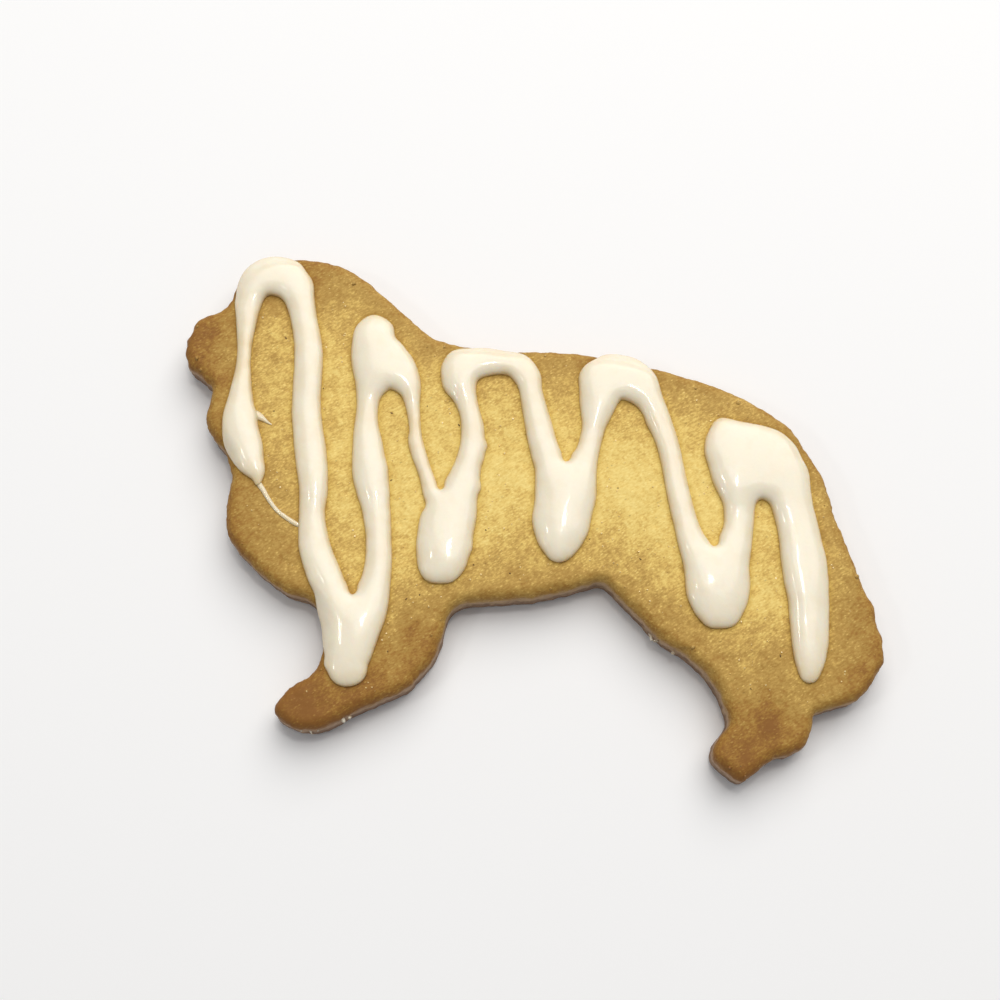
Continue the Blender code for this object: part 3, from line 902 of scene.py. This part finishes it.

# %% [markdown]
# ## Golden dough
# The colour runs from pale butter yellow in the middle through gold to toasted brown, along the
# browning kept on each point. The grain lightens and darkens it. The wall turns a duller, greyer
# brown towards the foot: partly dough browned on the tray, partly painted shade. Sugar flecks shine.

# %% Biscuit material
PALEST = -0.4
DOUGH_COLOURS = (
    (PALEST, paint(246, 221, 138)),
    (0.0, paint(228, 196, 110)),
    (0.2, paint(211, 175, 94)),
    (0.45, paint(187, 150, 78)),
    (0.7, paint(174, 136, 66)),
    (0.9, paint(163, 120, 53)),
    (1.15, paint(138, 92, 40)),
)
# The pits' dark colour is painted shade inside the small holes.
PIT_SHADE_COLOUR = paint(96, 68, 28)
CONTACT_SHADE_COLOUR = paint(216, 208, 166)
# The wall's two colours are partly painted shade: greyer and darker towards the foot, as a wall in shadow
# by the floor.
SHADED_WALL_TOP = paint(186, 160, 136)
SHADED_WALL_FOOT = paint(132, 104, 82)
MOTTLE_SCALE = 700.0
MOTTLE_BROWNING = 0.1
BISCUIT_GRAIN = 0.3
GRAIN_BROWNING = 0.14
FLECK_PALENESS = (-0.01, 0.19)
PIT_SHADE_SHARE = 0.35
CONTACT_SHADE_SHARE = 0.5
WALL_MOTTLE = 2.4
WALL_SHARES = (0.7, 0.9)
DOUGH_ROUGHNESS = 0.68
FLECK_ROUGHNESS = 0.54
DOUGH_SHINE = 0.24
FLECK_HEIGHT = 0.35
PIT_HEIGHT = 0.6
DOUGH_BUMP = 0.3
DOUGH_BUMP_DEPTH = 0.14


def make_biscuit_material():
    """Baked dough, whose colour follows the browning, the painted shade beside the icing and the wall kept
    on its points.
    """
    material, tree, shader = new_material("golden biscuit")
    baked = add(tree, "Attribute", attribute_name="browning").outputs["Fac"]
    icing_rim_shade = add(tree, "Attribute", attribute_name="soaked").outputs["Fac"]
    low_down = add(tree, "Attribute", attribute_name="side").outputs["Fac"]
    mottle = cloudy(tree, MOTTLE_SCALE, 3.0, 0.6)
    fine, flecks, pits = grain(tree, BISCUIT_GRAIN)
    uneven = ease(tree, mottle, 0.3, 0.7, -MOTTLE_BROWNING, MOTTLE_BROWNING)
    sandy = ease(tree, fine, 0.3, 0.7, GRAIN_BROWNING, -GRAIN_BROWNING)
    baked = reckon(tree, "ADD", reckon(tree, "ADD", baked, uneven), sandy)
    baked = reckon(tree, "SUBTRACT", baked, ease(tree, flecks, 0.0, 1.0, *FLECK_PALENESS))
    darkest = DOUGH_COLOURS[-1][0]
    stops = [((at - PALEST) / (darkest - PALEST), shade) for at, shade in DOUGH_COLOURS]
    colour = ramp(tree, ease(tree, baked, PALEST, darkest), stops)
    # Painted shade in the pits.
    colour = mix(tree, reckon(tree, "MULTIPLY", pits, PIT_SHADE_SHARE), colour, PIT_SHADE_COLOUR)
    # Painted shade beside the icing.
    colour = mix(tree, reckon(tree, "MULTIPLY", icing_rim_shade, CONTACT_SHADE_SHARE), colour, CONTACT_SHADE_COLOUR, "MULTIPLY")
    wall_mottle = reckon(tree, "MULTIPLY", reckon(tree, "MULTIPLY", low_down, uneven), WALL_MOTTLE)
    low_down = reckon(tree, "ADD", low_down, wall_mottle)
    # Painted shade, mixed with browning: the wall turns greyer and darker towards its foot.
    colour = mix(tree, ease(tree, low_down, 0.0, 0.5, 0.0, WALL_SHARES[0]), colour, SHADED_WALL_TOP)
    colour = mix(tree, ease(tree, low_down, 0.5, 1.0, 0.0, WALL_SHARES[1]), colour, SHADED_WALL_FOOT)
    tree.links.new(colour, shader.inputs["Base Color"])
    dull = ease(tree, flecks, 0.0, 1.0, DOUGH_ROUGHNESS, FLECK_ROUGHNESS)
    tree.links.new(dull, shader.inputs["Roughness"])
    shader.inputs["Specular IOR Level"].default_value = DOUGH_SHINE
    height = reckon(tree, "ADD", fine, reckon(tree, "MULTIPLY", flecks, FLECK_HEIGHT))
    height = reckon(tree, "SUBTRACT", height, reckon(tree, "MULTIPLY", pits, PIT_HEIGHT))
    bumpy(tree, shader, height, DOUGH_BUMP, DOUGH_BUMP_DEPTH)
    return material


biscuit_material = make_biscuit_material()
print("biscuit material with", len(biscuit_material.node_tree.nodes), "nodes")

# %% [markdown]
# ## The biscuit as an object
# The underside is one flat face, so its thousands of small faces are joined into one before the piece
# is finished.

# %% Biscuit
ALMOST_FLAT = 1e-6

values = {"browning": browning, "soaked": soaked, "side": side}
biscuit = new_object("biscuit", biscuit_points, biscuit_faces.tolist(), biscuit_material, values)


def join_flat_faces(obj, height):
    """Joins all faces that lie no higher than a height in metres, and counts the triangles left."""
    mesh = bmesh.new()
    mesh.from_mesh(obj.data)
    flat = [face for face in mesh.faces if all(corner.co.z <= height for corner in face.verts)]
    bmesh.ops.dissolve_faces(mesh, faces=flat, use_verts=True)
    mesh.to_mesh(obj.data)
    mesh.free()
    return count_triangles(obj.data)


print("triangles after the underside is joined:", join_flat_faces(biscuit, ALMOST_FLAT))
belongs(biscuit)

# %% [markdown]
# ## The icing's form
# The edge map and the height map together make a field for a rounded bead, steep at its edge, and
# the same kind of skin as the biscuit's is laid over it. Near the cookie's edge the sheet that the
# icing lies on falls away, and so the icing hangs a little over the side at the turns.

# %% Icing form
ICING_STEP = 0.24
ICING_LIFT = 0.12
ICING_SINK = 0.8
ICING_SWELL = 0.02
SWELL_LENGTH = 3.2
SWELL_LAYERS = 2
DRAPE_FALL = 1.3
DRAPE_OUT = 1.6
DRAPE_IN = 2.2
ICING_BELOW = 2.8

drape = np.clip((DEPTH + DRAPE_OUT) / (DRAPE_OUT + DRAPE_IN), 0.0, 1.0)
SHEET = LEVEL + ICING_LIFT - DRAPE_FALL * (1.0 - gentle(drape))


def icing_field(x, y, z):
    """Negative inside the icing, between its rounded top and its base, sunk into the dough."""
    x, y = flat_reading(x, y)
    up = z - read_map(SHEET, x, y)
    share = np.where(up > 0, up / read_map(RISE, x, y), up / ICING_SINK)
    across = np.maximum(read_map(ACROSS, x, y), 0.0)
    return np.hypot(across, share) - 1.0


covered_x, covered_y = MAP_X[covered], MAP_Y[covered]
low = (covered_x.min() - BOX_MARGIN, covered_y.min() - BOX_MARGIN, THICKNESS - ICING_BELOW)
high = (covered_x.max() + BOX_MARGIN, covered_y.max() + BOX_MARGIN, THICKNESS + rises.max() + BOX_MARGIN)
icing_points, icing_faces = skin_of(icing_field, low, high, ICING_STEP)
swell = ICING_SWELL * fractal(icing_points, SWELL_LENGTH, SWELL_LAYERS)
icing_points = icing_points + directions_out(icing_points, icing_faces) * swell[:, None]
print("icing skin of", len(icing_points), "points")

# %% [markdown]
# ## White icing
# Sugar icing is cloudy, not painted: light enters it and comes out a millimetre away, so it glows and
# has soft shadows. Where it thins out at the edge, the golden dough shows through as a peach tint.
# Its wet-looking gloss is a thin clear coat over a softer sheen.

# %% Icing material
THIN_EDGE = 1.1
ICING_COLOURS = (
    (0.0, paint(213, 182, 128)),
    (0.3, paint(227, 206, 166)),
    (0.6, paint(235, 221, 192)),
    (1.0, paint(240, 231, 209)),
)
DUST_COLOUR = paint(214, 204, 186)
CLOUD_SCALE = 420.0
CLOUD_TINT = 0.12
CLOUD_DULLING = 0.06
SPECKLE_SCALE = 2600.0
DUST_SHARE = 0.05
GLOW_REACH = 1.1
GLOW_BY_COLOUR = (1.0, 0.72, 0.45)
COAT = 0.5
COAT_ROUGHNESS = 0.07
ICING_BUMP = 0.25
ICING_BUMP_DEPTH = 0.12


def make_icing_material(name, roughness, glow):
    """Cloudy sugar icing, whose colour follows the thickness kept on its points."""
    material, tree, shader = new_material(name)
    thick = add(tree, "Attribute", attribute_name="thickness").outputs["Fac"]
    cloud = cloudy(tree, CLOUD_SCALE, 3.0, 0.55)
    speckle = cloudy(tree, SPECKLE_SCALE, 2.0, 0.6)
    uneven = ease(tree, cloud, 0.3, 0.7, -CLOUD_TINT, CLOUD_TINT)
    colour = ramp(tree, reckon(tree, "ADD", thick, uneven), ICING_COLOURS)
    dust = ease(tree, speckle, 0.35, 0.65, 0.0, DUST_SHARE)
    colour = mix(tree, dust, colour, DUST_COLOUR)
    tree.links.new(colour, shader.inputs["Base Color"])
    shine = ease(tree, cloud, 0.3, 0.7, roughness, roughness + CLOUD_DULLING)
    tree.links.new(shine, shader.inputs["Roughness"])
    shader.inputs["Subsurface Weight"].default_value = glow
    shader.inputs["Subsurface Radius"].default_value = GLOW_BY_COLOUR
    shader.inputs["Subsurface Scale"].default_value = GLOW_REACH * MM
    shader.inputs["Coat Weight"].default_value = COAT
    shader.inputs["Coat Roughness"].default_value = COAT_ROUGHNESS
    bumpy(tree, shader, cloud, ICING_BUMP, ICING_BUMP_DEPTH)
    return material


def thickness_of(points):
    """How thick the icing is at each point, from 0 at its thin edge to 1."""
    across = np.clip(read_map(ACROSS, *points[:, :2].T), 0.0, 1.0)
    thick = read_map(RISE, *points[:, :2].T) * np.sqrt(1.0 - across**2)
    return np.clip(thick / THIN_EDGE, 0.0, 1.0)


icing_material = make_icing_material("white icing", roughness=0.3, glow=0.6)
icing_values = {"thickness": thickness_of(icing_points)}
icing = new_object("icing", icing_points, icing_faces.tolist(), icing_material, icing_values)
belongs(icing)

# %% [markdown]
# ## The thin strings
# When the icing left the cheek, a hair-thin string was pulled out behind it to the next stroke, and a
# small pointed tongue beside it. They are so thin that the dough's colour shows in them. Each is a
# flattened tube swept along its curve, half sunk into the dough, whose width comes from the list: x, y
# and width.

# %% Icing strings
STRINGS = {
    "long": [
        (-39.6, 1.2, 0.9), (-38.9, -0.7, 0.85), (-38.0, -1.8, 0.75), (-36.8, -3.3, 0.62),
        (-35.5, -4.6, 0.6), (-34.2, -5.4, 0.66), (-33.0, -6.0, 0.74), (-31.8, -6.5, 0.7),
    ],
    "short": [
        (-41.3, 9.5, 1.5), (-40.4, 9.25, 1.2), (-39.7, 8.9, 0.75), (-39.0, 8.5, 0.4), (-38.3, 8.2, 0.14),
    ],
}
STRING_STEP = 0.12
STRING_SIDES = 12
STRING_FLATNESS = 0.5
STRING_LIFT = 0.08
STRING_THICKNESS = 0.34
END_WIDTH = 0.05
END_BLUNTNESS = 14


def sweep(line, sides, flatness, lift):
    """A closed flattened tube along a line of (x, y, width) that lies on the biscuit."""
    run = np.gradient(line[:, :2], axis=0)
    run /= np.linalg.norm(run, axis=1, keepdims=True)
    turn = np.linspace(0.0, 2 * math.pi, sides, endpoint=False)
    from_middle = np.abs(np.linspace(-1.0, 1.0, len(line)))
    end_taper = np.sqrt(np.clip(1.0 - from_middle**END_BLUNTNESS, 0.0, 1.0))
    half = line[:, 2] / 2 * (END_WIDTH + (1.0 - END_WIDTH) * end_taper)
    level = read_map(LEVEL, line[:, 0], line[:, 1]) + lift
    x = line[:, 0, None] + np.outer(half * run[:, 1], np.cos(turn))
    y = line[:, 1, None] - np.outer(half * run[:, 0], np.cos(turn))
    z = level[:, None] + flatness * np.outer(half, np.sin(turn))
    points = np.stack([x, y, z], axis=-1).reshape(-1, 3)
    start = np.arange(len(line) - 1)[:, None] * sides
    first = start + np.arange(sides)
    following = start + (np.arange(sides) + 1) % sides
    faces = np.stack([first, following, following + sides, first + sides], axis=-1).reshape(-1, 4)
    caps = [list(range(sides))[::-1], list(range(len(points) - sides, len(points)))]
    return points, faces.tolist() + caps


def joined(parts):
    """Several meshes, as (points, faces), in one."""
    points, faces, count = [], [], 0
    for part_points, part_faces in parts:
        points.append(part_points)
        faces += [[corner + count for corner in face] for face in part_faces]
        count += len(part_points)
    return np.vstack(points), faces


string_parts = []
for points in STRINGS.values():
    line = smooth_line(points, STRING_STEP)
    line[:, :2] -= middle
    string_parts.append(sweep(line, STRING_SIDES, STRING_FLATNESS, STRING_LIFT))
string_points, string_faces = joined(string_parts)
string_material = make_icing_material("thin clear icing", roughness=0.26, glow=0.3)
string_values = {"thickness": np.full(len(string_points), STRING_THICKNESS)}
strings = new_object("icing_strings", string_points, string_faces, string_material, string_values)
belongs(strings, replaces=False)

# %% [markdown]
# ## Sugar crystals
# Coarse sugar that didn't melt sits in the surface as tiny clear blocks, and each one flashes when
# one of its faces catches a lamp. They are real little blocks of a tenth to a fifth of a millimetre,
# turned at random and scattered over the bare dough, away from its edge and its brownest places.

# %% Sugar crystals
CRYSTALS = 240
CRYSTAL_SIZES = (0.08, 0.2)
CRYSTAL_STRETCH = (0.7, 1.3)
CRYSTAL_LIFT = 0.02
CRYSTAL_INSET = 1.6
ICING_CLEARANCE = 0.3
BROWNEST = 0.62
# The crystals that shine most, at their places in mm. The rest fall at random.
SHINING = [
    (-0.7, -1.5), (-1.6, -2.3), (11.4, -2.1), (-11.0, 8.2), (-18.9, -27.6), (-18.3, -28.2),
    (-17.8, -28.7), (-19.1, -28.4), (-27.3, -29.9), (-39.6, 8.1), (33.5, -19.1), (32.6, -18.1),
    (34.5, -18.6),
]
BLOCK = np.array([(x, y, z) for x in (-0.5, 0.5) for y in (-0.5, 0.5) for z in (-0.5, 0.5)])
BLOCK_FACES = [(0, 1, 3, 2), (4, 6, 7, 5), (0, 4, 5, 1), (2, 3, 7, 6), (0, 2, 6, 4), (1, 5, 7, 3)]

from_icing = (ACROSS - 1.0) * HALF_WIDTH
bare = np.argwhere((DEPTH > CRYSTAL_INSET) & (from_icing > ICING_CLEARANCE) & (BROWNING < BROWNEST))
dice = np.random.default_rng(8)
spots = map_low + MAP_STEP * bare[dice.integers(0, len(bare), CRYSTALS)]
spots = np.vstack([spots, SHINING])
crystal_parts = []
for x, y in spots:
    size = dice.uniform(*CRYSTAL_SIZES) * dice.uniform(*CRYSTAL_STRETCH, 3)
    turned = np.array(Euler(dice.uniform(0.0, math.pi, 3)).to_matrix())
    place = (x, y, float(read_map(LEVEL, x, y)) + CRYSTAL_LIFT)
    crystal_parts.append(((BLOCK * size) @ turned.T + place, BLOCK_FACES))
crystal_points, crystal_faces = joined(crystal_parts)


def make_sugar_material():
    """Nearly clear sugar: a pale body with a sharp shine, each grain a little different."""
    material, tree, shader = new_material("sugar crystals")
    each = cloudy(tree, 300.0, 1.0)
    colour = ramp(tree, each, ((0.3, paint(228, 192, 112)), (0.7, paint(248, 226, 166))))
    tree.links.new(colour, shader.inputs["Base Color"])
    shader.inputs["Roughness"].default_value = 0.12
    shader.inputs["Specular IOR Level"].default_value = 0.8
    return material


sugar = new_object("sugar_crystals", crystal_points, crystal_faces, make_sugar_material())
sugar.data.shade_flat()
belongs(sugar, replaces=False)

# %% [markdown]
# ## Loose crumbs
# Cutting and lifting leave crumbs along the edge. Each crumb starts as a small round body and gets
# lumps from the same kind of noise as the dough.

# %% Crumbs
CRUMBS = 24
CRUMB_SIZES = (0.16, 0.42)
CRUMB_STRETCH = (0.6, 1.0)
CRUMB_INSET = (0.5, 1.8)
CRUMB_TILT = 0.4
CRUMB_SPIN = 6.0
BUMP_SPACING = 1.3
BUMP_SHIFT = 9.0
BUMP_HEIGHT = 0.55
CRUMB_GRAIN = 0.18


def lump_shape():
    """The points and faces of a round body of 42 points."""
    mesh = bmesh.new()
    bmesh.ops.create_icosphere(mesh, subdivisions=2, radius=1.0)
    points = np.array([corner.co for corner in mesh.verts])
    faces = [[corner.index for corner in face.verts] for face in mesh.faces]
    mesh.free()
    return points, faces


LUMP_POINTS, LUMP_FACES = lump_shape()


def crumb(place, size, dice):
    """One crumb: the round body stretched, roughened and turned, at its place in mm."""
    shift = Vector(place) * BUMP_SHIFT
    bumps = np.array([noise.noise(Vector(point * BUMP_SPACING) + shift) for point in LUMP_POINTS])
    points = LUMP_POINTS * (1.0 + BUMP_HEIGHT * bumps)[:, None] * np.asarray(size)
    tilt = [dice.uniform(-CRUMB_TILT, CRUMB_TILT) for _ in range(2)]
    turned = np.array(Euler((*tilt, dice.uniform(0.0, CRUMB_SPIN))).to_matrix())
    return points @ turned.T + place, LUMP_FACES


dice = np.random.default_rng(12)
crumb_parts = []
for number in dice.integers(0, len(ring), CRUMBS):
    inset = dice.uniform(*CRUMB_INSET)
    inward = np.array([ring[number, 1] - ring[number - 1, 1], ring[number - 1, 0] - ring[number, 0]])
    x, y = ring[number] + inset * inward / np.linalg.norm(inward)
    run = 1.0 - min(inset / SHOULDER_RUN, 1.0)
    level = float(read_map(LEVEL, x, y)) - SHOULDER_RISE * (1.0 - math.sqrt(1.0 - run**2))
    size = dice.uniform(*CRUMB_SIZES) * dice.uniform(*CRUMB_STRETCH, 3)
    crumb_parts.append(crumb((x, y, level), size, dice))
crumb_points, crumb_faces = joined(crumb_parts)
crumb_browning = read_map(BROWNING, *crumb_points[:, :2].T)


def make_crumb_material():
    """The same dough as the biscuit's, broken open: paler, drier and with a finer grain."""
    material, tree, shader = new_material("loose crumb")
    baked = add(tree, "Attribute", attribute_name="browning").outputs["Fac"]
    fine, flecks, pits = grain(tree, CRUMB_GRAIN)
    sandy = ease(tree, fine, 0.3, 0.7, 0.12, -0.12)
    colour = ramp(tree, reckon(tree, "ADD", baked, sandy), DOUGH_COLOURS)
    colour = mix(tree, reckon(tree, "MULTIPLY", flecks, 0.4), colour, paint(250, 230, 170))
    # Painted shade in the crumb's pits.
    colour = mix(tree, reckon(tree, "MULTIPLY", pits, 0.6), colour, paint(90, 60, 30))
    tree.links.new(colour, shader.inputs["Base Color"])
    shader.inputs["Roughness"].default_value = 0.75
    bumpy(tree, shader, fine, 0.6, 0.08)
    return material


crumb_values = {"browning": crumb_browning}
crumbs = new_object("crumbs", crumb_points, crumb_faces, make_crumb_material(), crumb_values)
belongs(crumbs, replaces=False)

# %% [markdown]
# ## Flakes of dried glaze
# Where the icing ran over an edge, a few thin flakes of it dried clear and glassy: by the hind leg and
# under the fore paw. They are made with the crumbs' own function, flatter and shinier.

# %% Glaze flakes
# Each flake: x, y and z in mm, then its three half widths.
FLAKES = [
    (20.1, -15.75, 3.4, 0.55, 0.2, 0.22), (20.9, -16.2, 3.2, 0.4, 0.2, 0.2),
    (23.5, -17.7, 3.4, 0.28, 0.26, 0.26), (-21.9, -33.0, 4.4, 0.62, 0.32, 0.3),
    (-21.0, -32.6, 4.6, 0.3, 0.24, 0.2), (-27.6, -34.9, 3.9, 0.5, 0.14, 0.16),
    (-26.3, -35.0, 3.9, 0.6, 0.14, 0.16), (-25.2, -34.7, 4.0, 0.36, 0.13, 0.14),
]


def make_glaze_material():
    """A flake of dried glaze: pale, cloudy and shiny."""
    material, tree, shader = new_material("dried glaze")
    cloud = cloudy(tree, 1500.0, 3.0)
    colour = ramp(tree, cloud, ((0.35, paint(176, 158, 128)), (0.65, paint(238, 230, 210))))
    tree.links.new(colour, shader.inputs["Base Color"])
    shader.inputs["Roughness"].default_value = 0.14
    shader.inputs["Coat Weight"].default_value = 0.6
    bumpy(tree, shader, cloud, 0.5, 0.08)
    return material


flake_points, flake_faces = joined([crumb(flake[:3], flake[3:], dice) for flake in FLAKES])
flakes = new_object("glaze_flakes", flake_points, flake_faces, make_glaze_material())
belongs(flakes, replaces=False)

# %% [markdown]
# ## Dark specks
# A few bits of bran and sugar that scorched show as short dark dashes, mostly half sunk in the dough.
# They are thin flakes made with the crumbs' own function.

# %% Dark specks
# The specks that show most, at their places in mm. The rest fall at random.
SPECKS = [
    (-38.4, 21.9), (-31.7, 14.7), (-11.1, 11.6), (-16.1, 13.9), (-19.8, 2.1), (13.0, 4.9), (17.3, -5.2),
    (-1.0, -9.6), (-16.8, -22.9), (34.1, -32.9),
]
RANDOM_SPECKS = 9
SPECK_LENGTHS = (0.12, 0.26)
SPECK_WIDTHS = (0.07, 0.12)
SPECK_THICKNESS = 0.07

dice = np.random.default_rng(19)
speck_spots = np.vstack([SPECKS, map_low + MAP_STEP * bare[dice.integers(0, len(bare), RANDOM_SPECKS)]])
speck_parts = []
for x, y in speck_spots:
    size = (dice.uniform(*SPECK_LENGTHS), dice.uniform(*SPECK_WIDTHS), SPECK_THICKNESS)
    speck_parts.append(crumb((x, y, float(read_map(LEVEL, x, y))), size, dice))
speck_points, speck_faces = joined(speck_parts)


def make_speck_material():
    """Scorched bran, from black-brown to the brown of a nut."""
    material, tree, shader = new_material("scorched bran")
    each = cloudy(tree, 400.0, 2.0)
    colour = ramp(tree, each, ((0.3, paint(82, 60, 26)), (0.7, paint(128, 96, 46))))
    tree.links.new(colour, shader.inputs["Base Color"])
    shader.inputs["Roughness"].default_value = 0.7
    return material


specks = new_object("dark_specks", speck_points, speck_faces, make_speck_material())
belongs(specks, replaces=False)
